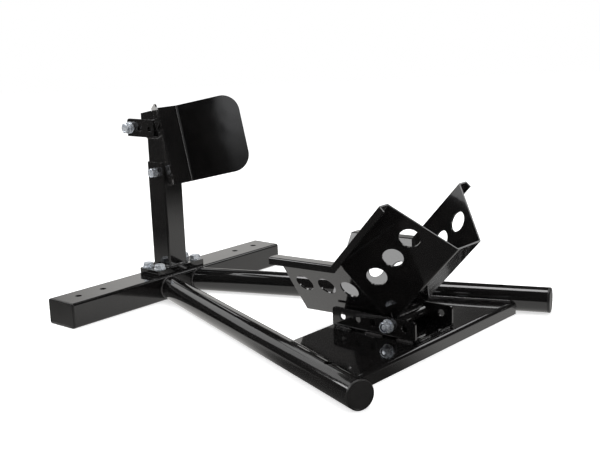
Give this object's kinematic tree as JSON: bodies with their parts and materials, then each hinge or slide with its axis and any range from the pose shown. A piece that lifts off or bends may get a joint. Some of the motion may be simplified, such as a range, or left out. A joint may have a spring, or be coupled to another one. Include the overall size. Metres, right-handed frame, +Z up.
{
  "type": "motorcycle wheel chock",
  "caption": "T-shaped steel floor stand that grips a motorcycle's front wheel: a folded cradle tips on a cross bolt as the wheel rolls in, against a height-adjustable stop.",
  "frame": {"origin": "on the floor, under the middle of the cross bar", "axes": "+X towards the side the wheel rolls in from, +Y to the right of a rider rolling in, +Z up"},
  "size_m": [0.8197, 0.6358, 0.4104],
  "materials": {
    "black_enamel": "glossy black powder coat",
    "zinc_plate": "bright bluish zinc plate",
    "black_plastic": "matt moulded plug",
    "black_rubber": "matt moulded rubber"
  },
  "bodies": {
    "base_frame": {"cross_bar": "black_enamel", "cross_bar_cap_left": "black_plastic", "cross_bar_cap_right": "black_plastic", "frame_tube_left": "black_enamel", "frame_tube_right": "black_enamel", "tube_cap_left": "black_plastic", "tube_cap_right": "black_plastic", "front_plate": "black_enamel", "pivot_channel": "black_enamel", "pivot_bolt": "zinc_plate", "pivot_nut": "zinc_plate", "pivot_washers": "zinc_plate", "rest_buffer": "black_rubber", "foot_bolts": "zinc_plate", "foot_washers": "zinc_plate", "foot_nuts": "zinc_plate", "mast_foot_lower": "black_enamel", "mast_foot_upper": "black_enamel", "mast_tube": "black_enamel", "set_nut": "zinc_plate", "set_bolt": "zinc_plate"},
    "stop_carriage": {"mast_post": "black_enamel", "head_channel": "black_enamel", "stop_arm": "black_enamel", "wheel_stop": "black_enamel", "stop_bolt": "zinc_plate", "stop_nut": "zinc_plate", "stop_washers": "zinc_plate"},
    "rocker": {"cradle_front_trough": "black_enamel", "cradle_rear_trough": "black_enamel", "pivot_sleeve": "black_enamel"}
  },
  "joints": [
    {"name": "mast_height", "type": "slide", "parent": "base_frame", "child": "stop_carriage", "axis": [0, 0, 1], "range_m": [-0.04, 0.08]},
    {"name": "rocker_tip", "type": "hinge", "parent": "base_frame", "child": "rocker", "pos_m": [0.6025, 0, 0.046], "axis": [0, 1, 0], "range_deg": [0, 62]}
  ]
}
